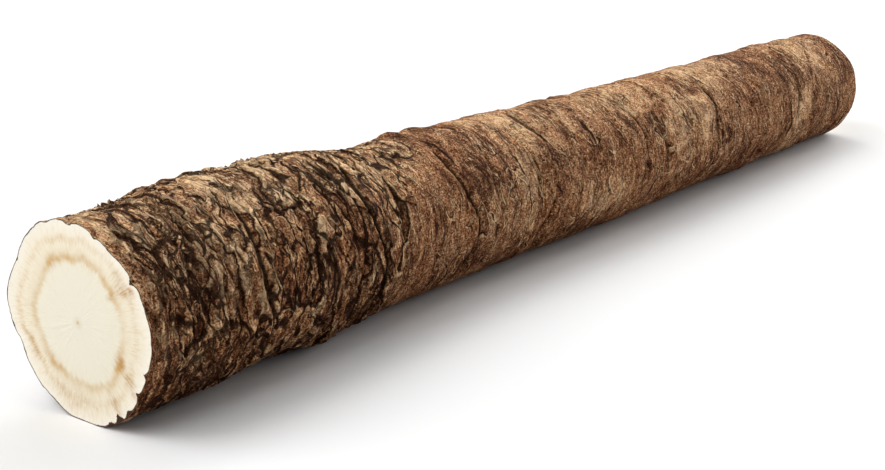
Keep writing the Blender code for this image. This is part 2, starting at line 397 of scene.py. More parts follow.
def craggy_weight(turn, share):
    """1 on the craggy first quarter, which reaches further along on top, and 0 past it."""
    top = np.clip(-np.cos(math.tau * turn), 0.0, 1.0) ** 2
    end = CRAGGY_END_SHARE + CRAGGY_TOP_REACH * top + noise_sum(turn, share, CRAGGY_EDGE)
    return 1.0 - smooth((share - end) / CRAGGY_FADE)


def arc_profile(turn, share, arcs, half_width, wander_size, seed):
    """Bells across a list of part-round arcs, each times its size and faded at its ends.

    An arc sways three times on its way round the root, and a noise makes it wander.
    """
    size = np.zeros_like(share)
    wander = wander_size * ring_noise(turn, share, *ARC_CELLS, seed)
    for place, first, last, tall in arcs:
        middle = 0.5 * (first + last)
        half = 0.5 * (last - first)
        way = turn_gap(turn, middle)
        sway = ARC_SWAY * np.sin(math.tau * (ARC_SWAYS * turn + ARC_SWAY_SHIFT * place))
        across = ((share - place) * LENGTH - sway + wander) / half_width
        fade = (1.0 - ARC_FULL) * half + ARC_FADE
        ends = 1.0 - smooth((np.abs(way) - ARC_FULL * half) / fade)
        size = np.maximum(size, tall * MM * np.exp(-across ** 2) * ends)
    return size


def slit_depth(turn, share):
    """Depth of short dark slits that run round the root, seeded at random all over it.

    Each is an arc with a slight slant and bend: a narrow bell across, faded at both ends.
    """
    rng = np.random.default_rng(SLIT_SEED)
    depth = np.zeros_like(share)
    for _ in range(SLIT_COUNT):
        place = rng.uniform(*SLIT_PLACES)
        middle = rng.uniform(0.0, 1.0)
        half = rng.uniform(*SLIT_HALF_TURNS) * rng.uniform(*SLIT_SHARES)
        slant = rng.normal(0.0, SLIT_SLANT)
        bend = rng.normal(0.0, SLIT_BEND)
        deep = rng.uniform(*SLIT_DEPTHS)
        wide = rng.uniform(*SLIT_HALF_WIDTHS)
        row = np.abs(share[:, 0] - place) * LENGTH < SLIT_REACH
        way = turn_gap(turn[row], middle)
        line = place * LENGTH + slant * way + bend * way ** 2
        across = (share[row] * LENGTH - line) / wide
        ends = 1.0 - smooth((np.abs(way) / half - SLIT_FULL_WAY) / (1.0 - SLIT_FULL_WAY))
        depth[row] = np.maximum(depth[row], deep * np.exp(-across ** 2) * ends)
    return depth


def knob_height(turn, share):
    """Height of the knobs and dents: a round bell at each place."""
    height = np.zeros_like(share)
    for place, middle, tall, half_width in KNOBS:
        across = turn_gap(turn, middle) * math.tau * root_radius(np.array(place))
        gap = np.hypot(across, (share - place) * LENGTH) / (half_width * MM)
        height += tall * MM * np.exp(-gap ** 2)
    return height


def torn_edge(level, trench):
    """Shape across a torn edge, which lies where a signed noise crosses 0.

    It stands highest at the lip and slopes off behind it. Before the lip lies a trench.
    """
    lip = np.exp(-np.maximum(level, 0.0) / LIP_RUN)
    foot = -FOOT_DEPTH * np.exp(-np.maximum(-level, 0.0) / trench)
    step = smooth(level / STEP_RUN + 0.5)
    return step * lip + (1.0 - step) * foot - EDGE_MEAN


def crack_gap(level, patch, craggy, widths):
    """A signed noise in widths of the crack at its edge, which is widest on craggy bark."""
    least, most, plain = widths
    return level / (least + most * patch * (plain + (1.0 - plain) * craggy))


def cut_edge_relief(turn, share):
    """Height of the cuts' own edge: fine scallops at both, and the crown's dents."""
    gap = share * LENGTH / NOTCH_RUN
    tail_gap = (1.0 - share) * LENGTH / NOTCH_RUN
    scallop = noise_sum(turn, share, SCALLOP)
    dent = np.zeros_like(scallop)
    for middle, wide, deep in NOTCHES:
        dent += deep * MM * np.exp(-(turn_gap(turn, middle) / wide) ** 2)
    return (scallop - dent) * np.exp(-gap ** 2) + scallop * np.exp(-tail_gap ** 2)


def pale_weight(turn, share):
    """0 to 1, highest on the pale patches, whose edges are torn by noise."""
    weight = np.zeros_like(share)
    ragged = noise_sum(turn, share, *PALE_EDGE)
    for place, middle, long_half, wide_half in PALE_PATCHES:
        across = turn_gap(turn, middle) * math.tau * root_radius(share) / (wide_half * MM)
        along = (share - place) * LENGTH / (long_half * MM)
        reach = np.hypot(across, along) + PALE_RAGGED * ragged
        weight = np.maximum(weight, 1.0 - smooth((reach - PALE_CORE) / PALE_FADE))
    return weight


def bark(turn, share):
    """Height of the bark over the mean radius, and what its colours follow.

    The craggy part has long scales, small flakes, layers that climb and then drop over a torn
    edge, and folds; its flakes stand higher along the crest. The rest has low lumps, ring
    wrinkles and faint flakes. Fine ridges show near the crown. Furrows, cords, slits and
    knobs go on all of it.
    """
    craggy = craggy_weight(turn, share)
    bent_turn = turn + noise_sum(turn, share, BEND_TURN)
    bent_share = share + noise_sum(turn, share, BEND_SHARE)
    torn_turn = bent_turn + noise_sum(turn, share, *TEAR_TURN)
    torn_share = bent_share + noise_sum(turn, share, *TEAR_SHARE)
    layer = noise_sum(bent_turn, bent_share, LAYER) + noise_sum(torn_turn, torn_share, LAYER_TEAR)
    layer_rise = layer - np.floor(layer)
    layer_patch = patch_weight(turn, share, *LAYER_PATCH)
    scale = noise_sum(torn_turn, bent_share, SCALE) + noise_sum(torn_turn, torn_share, SCALE_TEAR)
    scale_patch = patch_weight(turn, share, *SCALE_PATCH)
    flake = noise_sum(torn_turn, torn_share, *FLAKE)
    flake_patch = patch_weight(turn, share, *FLAKE_PATCH)
    flake_top = torn_edge(flake, FLAKE_TRENCH) * flake_patch
    crest = np.exp(-(turn_gap(turn, CREST_TURN) / CREST_HALF_TURN) ** 2)

    rough = LAYER_HEIGHT * (layer_rise - 0.5) * layer_patch
    rough += SCALE_HEIGHT * torn_edge(scale, SCALE_TRENCH) * scale_patch
    rough += FLAKE_HEIGHT * flake_top * (1.0 + CREST_ROUGH * crest)
    rough = rough + noise_sum(bent_turn, bent_share, FOLD) - CREST_SINK * crest - SINK
    plain = noise_sum(turn, share, LUMP) + noise_sum(bent_turn, bent_share, WRINKLE)
    plain = plain + noise_sum(torn_turn, torn_share, FINE_WRINKLE) + PLAIN_FLAKE * flake_top
    ridge = noise_sum(torn_turn, share, RIDGE) * np.exp(-(share / RIDGE_SHARE) ** 2)

    cord = CORD_SHARE * arc_profile(turn, share, CORDS, *CORD_ARC)
    furrow = FURROW_SHARE * arc_profile(turn, share, FURROWS, *FURROW_ARC)
    slit = slit_depth(turn, share)
    height = craggy * rough + (1.0 - craggy) * plain + ridge + noise_sum(turn, share, GRAIN)
    height = height + cord - furrow - slit + knob_height(turn, share)
    # Shares of painted shade in furrows and slits, and of painted highlight on cords
    hollow_shade = np.maximum(furrow / FURROW_FULL, slit / SLIT_FULL)
    values = {
        "craggy": craggy,
        "hollow_shade": np.clip(hollow_shade, 0.0, 1.0),
        "cord": np.clip(cord / CORD_FULL, 0.0, 1.0),
        "layer": layer,
        "layer_patch": layer_patch * (PLAIN_LAYER + (1.0 - PLAIN_LAYER) * craggy),
        "scale_gap": crack_gap(scale, scale_patch, craggy, SCALE_CRACKS),
        "flake_gap": crack_gap(flake, flake_patch, craggy, FLAKE_CRACKS),
    }
    return height, values


def root_surface(turn, share):
    """Points of the bark: rings round a leaning, tapering axis, pressed flat underneath.

    Also gives what the colours follow. The relief calms down underneath and behind each cut.
    """
    height, values = bark(turn, share)
    below = np.exp(-(turn_gap(turn, 0.0) / UNDERSIDE_HALF_TURN) ** 2)
    near_cut = np.minimum(share, 1.0 - share) * LENGTH / CUT_CALM_RUN
    calm = CUT_CALM_FLOOR + (1.0 - CUT_CALM_FLOOR) * smooth(near_cut)
    height = height * (1.0 - UNDERSIDE_CALM * below) * calm + cut_edge_relief(turn, share)
    radius = root_radius(share)
    side = SWELL_ONE_SIDED * np.cos(math.tau * (turn - SWELL_SIDE_TURN))
    reach = radius * section_lobes(turn, share) + swelling(share) * side + height
    angle = math.tau * turn
    lean = LEAN_OFFSET * np.exp(-((share - LEAN_SHARE) / LEAN_RUN) ** 2)
    lowest = section_lobes(np.zeros_like(share), share)
    x = (share - 0.5) * LENGTH
    y = lean - reach * np.sin(angle)
    z = radius * lowest - FLAT_CUT - reach * np.cos(angle)
    return np.stack([x, y, np.maximum(z, 0.0)], axis=-1), values


def cut_face(edge, out, inward, seed):
    """Points of a cut's face: its edge drawn in towards the middle, ring after ring.

    The face sinks a little in two ring grooves and by a faint radial combing.
    """
    middle = edge.mean(axis=0)
    points = middle + (edge - middle) * out[..., None]
    turn = np.arange(SECTORS) / SECTORS + 0.0 * out
    comb = ring_noise(turn, out, *COMBING_CELLS, seed)
    groove = sum(deep * np.exp(-((out - reach) / wide) ** 2) for reach, wide, deep in GROOVES)
    sunk = GROOVE_DEPTH * groove + COMBING_DEPTH * (1.0 + comb) * smooth(out / COMBING_START)
    points[..., 0] += inward * sunk
    return points


def stain_weight(turn, out, stains):
    """0 to 1, highest on a cut's stains: soft bells in turn and share of the way out."""
    weight = np.zeros_like(out)
    for middle, reach, wide, tall, strength in stains:
        bell = np.exp(-(turn_gap(turn, middle) / wide) ** 2 - ((out - reach) / tall) ** 2)
        weight = np.maximum(weight, strength * bell)
    return weight


def rim_width(turn):
    """Share of the radius that the dark rind takes at a cut's edge, thin but for the nicks."""
    width = RIND_WIDTH + noise_sum(turn, 0.0 * turn, RIND_NOISE)
    for middle, wide, deep in NICKS:
        width = np.maximum(width, deep * np.exp(-(turn_gap(turn, middle) / wide) ** 2))
    return width


def add_values(mesh, name, values):
    """One number for each point of a mesh, for its material to read, and 0 past the last."""
    every = np.zeros(len(mesh.vertices), np.float32)
    every[:np.size(values)] = np.ravel(values)
    mesh.attributes.new(name, "FLOAT", "POINT").data.foreach_set("value", every)


def add_unwrap(mesh, share, bark_count):
    """Flat layout of the skin: the bark as one strip, the cuts as two discs above it."""
    corners = np.zeros(len(mesh.loops), np.int32)
    mesh.loops.foreach_get("vertex_index", corners)
    place = np.zeros(len(mesh.vertices) * 3)
    mesh.vertices.foreach_get("co", place)
    place = place.reshape(-1, 3)[corners]
    flat = np.zeros((len(corners), 2))

    rows = corners // SECTORS
    steps = corners % SECTORS
    strip = np.arange(len(corners)) < bark_count * 4
    first = steps[strip].reshape(-1, 4)
    last_column = first.max(axis=1) - first.min(axis=1) > 1
    first = np.where(last_column[:, None] & (first == 0), SECTORS, first)
    flat[strip, 0] = FLAT_MARGIN + (1.0 - 2.0 * FLAT_MARGIN) * share[rows[strip], 0]
    flat[strip, 1] = FLAT_MARGIN + FLAT_STRIP * first.ravel() / SECTORS

    for side, left in FLAT_DISCS:
        cap = ~strip & (np.sign(place[:, 0]) == side)
        spread = place[cap][:, 1:] - place[cap][:, 1:].mean(axis=0)
        spread = FLAT_DISC_HALF * spread / np.abs(spread).max()
        flat[cap] = spread + (left, FLAT_DISC_UP)
    layer = mesh.uv_layers.new(name="OFBake")
    layer.data.foreach_set("uv", flat.astype(np.float32).ravel())


def grid_faces(first, second):
    """Quads between rings of points and the next ones, both as rows of point numbers."""
    corners = [first, np.roll(first, -1, axis=-1), np.roll(second, -1, axis=-1), second]
    return np.stack(corners, axis=-1).reshape(-1, 4)


def fan_faces(ring, centre):
    """Triangles from a ring to one centre point."""
    return np.stack([ring, np.roll(ring, -1), np.full_like(ring, centre)], axis=-1)


def build_root():
    """The whole root as one closed skin: bark rings, and a rounded-off face at each cut."""
    near = np.linspace(0.0, CRAGGY_ROW_END, CRAGGY_ROWS + 1)[:-1]
    far = np.linspace(CRAGGY_ROW_END, 1.0, PLAIN_ROWS + 1)
    turns = np.arange(SECTORS) / SECTORS
    share, turn = np.meshgrid(np.concatenate([near, far]), turns, indexing="ij")
    skin, values = root_surface(turn, share)
    values["pale"] = pale_weight(turn, share)
    top = -np.cos(math.tau * turn)
    # Paler top of the craggy part: partly paler bark, partly painted light from above
    values["pale_and_painted_lit_top"] = values["craggy"] * smooth((top - PALE_LIT_TOP_START) / PALE_LIT_TOP_FADE)
    skin[..., 1] += AXIS_SHIFT
    skin = np.clip(skin, np.array(cad_low), np.array(cad_high))
    rows = len(skin)
    cap_out = 1.0 - smooth(np.arange(1, CAP_RINGS + 1) / (CAP_RINGS + 1.0)) ** CAP_BUNCH
    cap_out = np.repeat(cap_out[:, None], SECTORS, axis=1)
    crown = cut_face(skin[0], cap_out, 1.0, CROWN_SEED)
    tail = cut_face(skin[-1], cap_out, -1.0, TAIL_SEED)
    centres = [crown[-1].mean(axis=0), tail[-1].mean(axis=0)]
    points = np.concatenate([np.concatenate([skin, crown, tail]).reshape(-1, 3), centres])

    ids = np.arange((rows + 2 * CAP_RINGS) * SECTORS).reshape(-1, SECTORS)
    crown_rows = np.r_[0, rows:rows + CAP_RINGS]
    tail_rows = np.r_[rows - 1, rows + CAP_RINGS:len(ids)]
    quads = np.concatenate([
        grid_faces(ids[1:rows], ids[:rows - 1]),
        grid_faces(ids[crown_rows[:-1]], ids[crown_rows[1:]]),
        grid_faces(ids[tail_rows[1:]], ids[tail_rows[:-1]])])
    crown_fan = fan_faces(ids[crown_rows[-1]], ids.size)
    fans = np.concatenate([crown_fan, fan_faces(ids[-1][::-1], ids.size + 1)])
    mesh = bpy.data.meshes.new("root_skin")
    mesh.from_pydata(points.tolist(), [], quads.tolist() + fans.tolist())

    bark_count = (rows - 1) * SECTORS
    slots = np.ones(len(mesh.polygons), np.int32)
    slots[:bark_count] = 0
    mesh.polygons.foreach_set("material_index", slots)
    mesh.shade_smooth()
    mesh.set_sharp_from_angle(angle=math.radians(SHARP_DEGREES))

    out = np.concatenate([np.ones_like(share), cap_out, cap_out])
    stain = np.zeros_like(out)
    for rings, stains in ((crown_rows, CROWN_STAINS), (tail_rows, TAIL_STAINS)):
        stain[rings] = stain_weight(turns, out[rings], stains)
    values.update(stain=stain, out=out)
    around = {name: around_table(turns, table) for name, table in RINGS.items()}
    around["rim"] = rim_width(turns)
    for name, value in around.items():
        values[name] = np.append(np.tile(value, len(ids)), [value.mean()] * 2)
    for name, value in values.items():
        add_values(mesh, name, value)
    angle = math.tau * turns + 0.0 * out
    ray = np.append(np.stack([np.sin(angle), np.cos(angle), out], axis=-1), (0.0, 1.0, 0.0) * 2)
    layer = mesh.attributes.new("ray", "FLOAT_VECTOR", "POINT")
    layer.data.foreach_set("vector", ray.astype(np.float32))
    add_unwrap(mesh, share, bark_count)
    mesh.update()
    return bpy.data.objects.new("root_skin", mesh)


class Shader:
    """A small helper that adds nodes to one material and links them."""

    def __init__(self, name, roughness, gloss):
        self.material = bpy.data.materials.new(name)
        self.material.use_nodes = True
        self.tree = self.material.node_tree
        self.main = self.tree.nodes["Principled BSDF"]
        self.main.inputs["Roughness"].default_value = roughness
        self.main.inputs["Specular IOR Level"].default_value = gloss
        self.place = self.node("TexCoord", {})["Object"]

    def put(self, value, socket):
        """Link another node's output to a socket, or give it a plain value."""
        if isinstance(value, bpy.types.NodeSocket):
            self.tree.links.new(value, socket)
        else:
            socket.default_value = value

    def node(self, kind, inputs, **settings):
        """Add a node with settings and inputs by name or number, and give its outputs."""
        node = self.tree.nodes.new("ShaderNode" + kind)
        for name, value in settings.items():
            setattr(node, name, value)
        for name, value in inputs.items():
            self.put(value, node.inputs[name])
        return node.outputs

    def value(self, name, output="Fac"):
        """A number that the mesh carries at each point, or a vector."""
        return self.node("Attribute", {}, attribute_name=name)[output]

    def scaled(self, vector, scale):
        """A vector with each axis scaled on its own."""
        return self.node("Mapping", {"Vector": vector, "Scale": scale})["Vector"]

    def squeezed(self, vector, across):
        """A vector scaled across the root, which draws patterns out round it."""
        return self.scaled(vector, (1.0, across, across))

    def parts(self, vector):
        """A vector's three numbers, each on its own."""
        return self.node("SeparateXYZ", {0: vector})[:3]

    def noise(self, vector, scale, detail=2.0, roughness=0.55, across=1.0, distortion=0.0):
        """Noise between 0 and 1, in cells for each metre, squeezed across the root."""
        if across != 1.0:
            vector = self.squeezed(vector, across)
        return self.node("TexNoise", {
            "Vector": vector, "Scale": scale, "Detail": detail, "Roughness": roughness,
            "Distortion": distortion})["Fac"]

    def patches(self, vector, scale, low, high, bare=0.0, across=1.0):
        """Soft patches where a pattern shows: noise between two limits."""
        return self.ease(self.noise(vector, scale, across=across), low, high, bare, 1.0)

    def shifted(self, vector, scale, amount):
        """A vector moved about by noise, so that patterns on it wander."""
        noise = self.node("TexNoise", {"Vector": vector, "Scale": scale, "Detail": 2.0})["Color"]
        inputs = {0: noise, 1: (amount, amount, amount), 2: vector}
        return self.node("VectorMath", inputs, operation="MULTIPLY_ADD")["Vector"]

    def voronoi(self, vector, scale, feature="F1"):
        """Random cells round a vector."""
        return self.node("TexVoronoi", {"Vector": vector, "Scale": scale}, feature=feature)

    def cells(self, vector, wander_scale, wander, across, scale):
        """Random cells drawn out round the root: (a number for each, distance to the edge)."""
        place = self.squeezed(self.shifted(vector, wander_scale, wander), across)
        edge = self.voronoi(place, scale, "DISTANCE_TO_EDGE")
        return self.voronoi(place, scale)["Color"], edge["Distance"]

    def slits(self, vector, scale, stretch, width, length, share):
        """Short tapered slits, one at each random spot: (slit, the lip on one side of it).

        A slit is where the surface cuts a thin disc across the root. Its width, length and
        slant differ by chance, and only the given share of the spots has one.
        """
        squeezed = self.squeezed(vector, stretch)
        spot = self.voronoi(squeezed, scale)
        gap = self.node("VectorMath", {0: squeezed, 1: spot["Position"]}, operation="SUBTRACT")
        along, side, up = self.parts(gap["Vector"])
        chance, lean, size = self.node("SeparateColor", {0: spot["Color"]})[:3]
        slant = self.product(self.centred(lean), self.total(side, up), SLIT_LEAN)
        reach = self.total(self.math("POWER", side, 2.0), self.math("POWER", up, 2.0))
        half = self.ease(size, 0.0, 1.0, SHORTEST_SLIT * length * stretch, length * stretch)
        reach = self.math("DIVIDE", self.math("SQRT", reach), half)
        taper = self.math("SUBTRACT", 1.0, self.math("POWER", reach, 2.0), clamp=True)
        bare = 1.0 - share
        there = self.ease(chance, bare - SLIT_CHANCE, bare + SLIT_CHANCE)
        wide = self.ease(chance, bare, 1.0, THINNEST_SLIT * width, width)
        wide = self.total(self.product(taper, there, wide), LEAST_WIDTH)
        level = self.math("DIVIDE", self.total(along, slant), wide)
        slit = self.ease(self.math("ABSOLUTE", level), *SLIT_FADE)
        lip = self.band(level, *SLIT_LIP)
        shown = self.ease(taper, *SLIT_ENDS)
        return self.product(slit, shown), self.product(lip, shown)

    def math(self, operation, a, b=0.0, clamp=False):
        """One sum, product or other operation on two numbers."""
        return self.node("Math", {0: a, 1: b}, operation=operation, use_clamp=clamp)[0]

    def fold(self, operation, first, *others):
        """One operation on a number and each of some others in turn."""
        for other in others:
            first = self.math(operation, first, other)
        return first

    product = partialmethod(fold, "MULTIPLY")
    total = partialmethod(fold, "ADD")
    highest = partialmethod(fold, "MAXIMUM")

    def weighted(self, values, weights, join="ADD"):
        """Sum, or another operation, of named numbers that are each times a weight."""
        return self.fold(join, *[self.product(values[name], weights[name]) for name in weights])

    def centred(self, value):
        """A number between 0 and 1, moved to lie round 0."""
        return self.math("SUBTRACT", value, 0.5)

    def between(self, share, start, end):
        """The number at a share of the straight way from start to end."""
        return self.total(self.product(share, end - start), start)

    def band(self, value, start, full, fade, end, floor=0.0):
        """A smooth rise to 1 between two limits, and a fall between two more."""
        fall = self.ease(value, fade, end, 1.0, floor)
        return self.product(self.ease(value, start, full), fall)

    def ease(self, value, low, high, to_low=0.0, to_high=1.0):
        """Smooth step of a value between two limits."""
        inputs = {
            "Value": value, "From Min": low, "From Max": high, "To Min": to_low, "To Max": to_high}
        return self.node("MapRange", inputs, interpolation_type="SMOOTHSTEP")["Result"]

    def mix(self, share, a, b, how="MIX"):
        """Blend of two colours."""
        inputs = {"Factor": share, "A": a, "B": b}
        return self.node("Mix", inputs, data_type="RGBA", blend_type=how)["Result"]

    def ramp(self, value, stops):
        """Colours along a value: stops are (place, sRGB colour in steps of 255)."""
        outputs = self.node("ValToRGB", {"Fac": value})
        band = outputs["Color"].node.color_ramp
        while len(band.elements) < len(stops):
            band.elements.new(0.5)
        for element, (place, colour) in zip(band.elements, stops):
            element.position = place
            element.color = linear(*colour)
        return outputs["Color"]

    def bump(self, height, strength, depth, **before):
        """Surface tilt from a height between 0 and 1 that stands for so many metres."""
        inputs = {"Strength": strength, "Distance": depth, "Height": height, **before}
        return self.node("Bump", inputs)["Normal"]


# Painted shade: the near-black colour laid in cracks, slits, furrows and at the feet of layers
PAINTED_CRACK_SHADE = linear(30, 10, 2)
DARK_BROWN = (72, 36, 14)
BROWN = (137, 86, 56)
TAN = (191, 139, 96)
LIGHT_TAN = (240, 202, 156)
DARK_GREY = (67, 37, 19)
GREY_BROWN = (128, 84, 57)
KHAKI = (186, 138, 99)
LIGHT_KHAKI = (237, 200, 158)
BARK_WARM = ((0.34, DARK_BROWN), (0.56, BROWN), (0.75, TAN), (0.98, LIGHT_TAN))
BARK_COOL = ((0.34, DARK_GREY), (0.56, GREY_BROWN), (0.75, KHAKI), (0.98, LIGHT_KHAKI))
CRACK_SHADE_COVER = 0.94
BARK_ROUGHNESS = 0.88
BARK_GLOSS = 0.06
BARK_BUMP = (1.0, 0.001)

# How a vector wanders: noise scale and distance in metres
WANDER = (150.0, 0.0045)
FRAY = (700.0, 0.0009)
TEAR = (420.0, 0.0016)
# Noises of the bark: scale, detail, roughness, squeeze round the root, distortion
STREAK = (900.0, 5.0, 0.62, 0.25)
THREAD = (1500.0, 2.0, 0.6, 0.13)
THIN = (620.0, 2.0, 0.5, 0.18)
BLOTCH = (75.0, 5.0, 0.6, 1.0, 0.4)
GRAIN_NOISE = (2600.0, 2.0, 0.75)
CRUMB = (700.0, 3.0, 0.6)
WARM = (130.0, 3.0, 0.6)
# Patches where a pattern shows: scale, low and high limit, least share, squeeze
THIN_PATCHES = (200.0, 0.35, 0.62)
BUNDLE_PATCHES = (170.0, 0.46, 0.62, 0.0, 0.45)
CHIP_PATCHES = (170.0, 0.36, 0.56)
PLATE_PATCHES = (140.0, 0.32, 0.54)
SLIT_PATCHES = (110.0, 0.38, 0.6, 0.35)
# Random cells: wander scale and distance, squeeze round the root, cell scale
CHIPS = (520.0, 0.0022, 0.4, 540.0)
BITS = (1300.0, 0.0008, 0.5, 1500.0)
PLATES = (300.0, 0.003, 0.33, 340.0)
# Slits in the colour: scale, squeeze round the root, half width, length, share of the spots
WIDE_SLITS = (170.0, 0.3, 0.00052, 0.0085, 0.72)
SLITS = (330.0, 0.3, 0.0003, 0.005, 0.55)
FINE_SLITS = (640.0, 0.34, 0.00016, 0.0026, 0.5)
SLIT_LEAN = 0.9
SHORTEST_SLIT = 0.4
THINNEST_SLIT = 0.45
SLIT_CHANCE = 0.05
LEAST_WIDTH = 0.000001

# Smooth steps: from, to, and the results there if they aren't 0 and 1. A band rises between
# its first two limits and falls between its last two.
NEAR_CROWN = (-0.116, -0.09, 1.0, 0.0)
CUT_EDGE = (-0.125, -0.1195, 0.35, 1.0)
CROWN_TONE = (-0.122, -0.095, 0.015, 0.0)
# Painted shade: the bark's tone darkens towards the floor
UNDERSIDE_PAINTED_SHADE = (0.002, 0.018, -0.07, 0.0)
BLOTCH_TONE = (0.0, 1.0, 0.34, 0.22)
GRAIN_TONE = (0.0, 1.0, 1.6, 1.45)
WARM_STEP = (0.32, 0.58)
HOLLOW_SHADE_STEP = (0.38, 0.95)
LAYER_FOOT = (0.0, 0.06, 0.7, 0.0)
LAYER_EDGE = (0.72, 0.96)
SCALE_BAND = (-0.8, -0.35, 0.0, 0.35)
FLAKE_BAND = (-0.7, -0.3, 0.0, 0.35)
SCALE_LIP = (0.2, 0.7, 1.4, 3.0)
FLAKE_LIP = (0.2, 0.7, 1.2, 2.6)
THIN_CRACK = (0.004, 0.038, 1.0, 0.0)
CROWN_CRACK = (0.01, 0.06, 1.0, 0.0)
THREAD_CRACK = (0.4, 0.5, 1.0, 0.0)
THREAD_CRAGGY = (0.0, 1.0, 1.0, 0.6)
CHIP_CRACK = (0.02, 0.1, 1.0, 0.0)
PLATE_CRACK = (0.03, 0.09, 1.0, 0.0)
PLATE_LIP = (0.07, 0.12, 0.14, 0.3)
WHOLE_PLATE = (0.48, 0.6, 0.0, 0.6)
# Crack strength from the sides to the paler top, which is partly painted light
PALE_LIT_TOP_CRACK = (0.0, 1.0, 0.8, 1.0)
SLIT_FADE = (0.45, 1.0, 1.0, 0.0)
SLIT_LIP = (0.8, 1.3, 1.6, 3.2)
SLIT_ENDS = (0.0, 0.25)
# Straight steps: the results at 0 and 1
RAGGED = (0.55, 1.45)
THIN_CRAGGY = (0.6, 1.0)
CHIP_CRAGGY = (0.2, 1.0)
WHOLE_NEAR_CROWN = (1.0, 0.4)
BUNDLE_NEAR_CROWN = 0.7

# What each pattern adds to the tone and the relief, and how strong each lip and crack is
TONE_START = 0.606
# In the tone, lip is painted highlight on the lips of cracks, slits, plates and layers, cord is
# painted highlight on raised cords, and the paler top is partly paler bark and partly painted
# light
TONE = {
    "streak": 0.64, "crumb": 0.6, "thread": 0.28, "chip": 0.22, "plate": 0.16, "bit": 0.12,
    "lip": 0.23, "cord": 0.1, "pale_and_painted_lit_top": 0.2, "pale": 0.2, "bundle": -0.08, "craggy": -0.085,
}
RELIEF = {
    "streak": 0.4, "crumb": 0.31, "grain": 0.26, "raised_chip": 0.7, "plate": 1.0,
    "bit": 0.22, "lip": 0.34, "crack": -0.62,
}
LIPS = {"scale_lip": 1.4, "flake_lip": 1.0, "layer_edge": 1.0, "slit_lip": 0.7, "plate_lip": 0.6}
FINE_CRACKS = {
    "thin_crack": 1.0, "crown_crack": 0.9, "chip_crack": 0.85,
    "wide_slit": 1.0, "slit": 1.0, "fine_slit": 0.8,
}


def bark_patterns(s, near_crown):
    """The bark's patterns by name: noises and cells round 0; cracks, lips and patches 0 to 1."""
    p = {name: s.value(name) for name in ("craggy", "cord", "pale_and_painted_lit_top", "pale")}
    craggy = p["craggy"]
    wander = s.shifted(s.place, *WANDER)
    frayed = s.shifted(wander, *FRAY)
    crumb = s.noise(s.place, *CRUMB)
    ragged = s.between(crumb, *RAGGED)
    p["crumb"] = s.centred(crumb)
    p["grain"] = s.centred(s.noise(s.place, *GRAIN_NOISE))
    p["blotch"] = s.centred(s.noise(s.place, *BLOTCH))
    p["streak"] = s.centred(s.noise(wander, *STREAK))
    # Painted shade in furrows and slits
    p["hollow_shade"] = s.ease(s.value("hollow_shade"), *HOLLOW_SHADE_STEP)

    layer_patch = s.value("layer_patch")
    layer_rise = s.math("FRACT", s.value("layer"))
    p["layer_foot"] = s.product(s.ease(layer_rise, *LAYER_FOOT), layer_patch)
    p["layer_edge"] = s.product(s.ease(layer_rise, *LAYER_EDGE), layer_patch)
    scale_gap = s.product(s.value("scale_gap"), ragged)
    flake_gap = s.product(s.value("flake_gap"), ragged)
    p["scale_crack"] = s.band(scale_gap, *SCALE_BAND)
    p["flake_crack"] = s.band(flake_gap, *FLAKE_BAND)
    p["scale_lip"] = s.band(scale_gap, *SCALE_LIP)
    p["flake_lip"] = s.band(flake_gap, *FLAKE_LIP)

    thin = s.math("ABSOLUTE", s.centred(s.noise(s.shifted(wander, *TEAR), *THIN)))
    thin_where = s.highest(s.patches(s.place, *THIN_PATCHES), near_crown)
    thin_where = s.product(thin_where, s.between(craggy, *THIN_CRAGGY))
    p["thin_crack"] = s.product(s.ease(thin, *THIN_CRACK), thin_where)
    p["crown_crack"] = s.product(s.ease(thin, *CROWN_CRACK), near_crown)
    thread = s.noise(frayed, *THREAD)
    bundle = s.patches(wander, *BUNDLE_PATCHES)
    bundle = s.highest(bundle, s.product(near_crown, BUNDLE_NEAR_CROWN))
    thread_where = s.product(bundle, s.ease(craggy, *THREAD_CRAGGY))
    p["thread_crack"] = s.product(s.ease(thread, *THREAD_CRACK), thread_where)
    p["thread"] = s.centred(thread)
    p["bundle"] = bundle

    chip, chip_gap = s.cells(wander, *CHIPS)
    chip_where = s.product(s.patches(s.place, *CHIP_PATCHES), s.between(craggy, *CHIP_CRAGGY))
    p["chip"] = s.product(s.centred(chip), chip_where)
    p["chip_crack"] = s.product(s.ease(chip_gap, *CHIP_CRACK), chip_where)
    p["bit"] = s.centred(s.cells(wander, *BITS)[0])

    plate, plate_gap = s.cells(wander, *PLATES)
    plate_gap = s.product(plate_gap, ragged)
    plate_where = s.product(s.highest(s.patches(s.place, *PLATE_PATCHES), near_crown), craggy)
    p["plate"] = s.product(s.centred(plate), plate_where)
    p["plate_crack"] = s.product(s.ease(plate_gap, *PLATE_CRACK), plate_where)
    p["plate_lip"] = s.product(s.band(plate_gap, *PLATE_LIP), plate_where)
    whole = s.product(s.ease(plate, *WHOLE_PLATE), plate_where)
    whole = s.product(whole, s.between(near_crown, *WHOLE_NEAR_CROWN))
    p["broken"] = s.math("SUBTRACT", 1.0, whole)
    p["raised_chip"] = s.product(p["chip"], p["broken"])

    p["wide_slit"], wide_lip = s.slits(wander, *WIDE_SLITS)
    slit, lip = s.slits(frayed, *SLITS)
    p["fine_slit"], fine_lip = s.slits(frayed, *FINE_SLITS)
    p["slit"] = s.product(slit, s.patches(s.place, *SLIT_PATCHES))
    p["slit_lip"] = s.highest(wide_lip, lip, fine_lip)
    return p


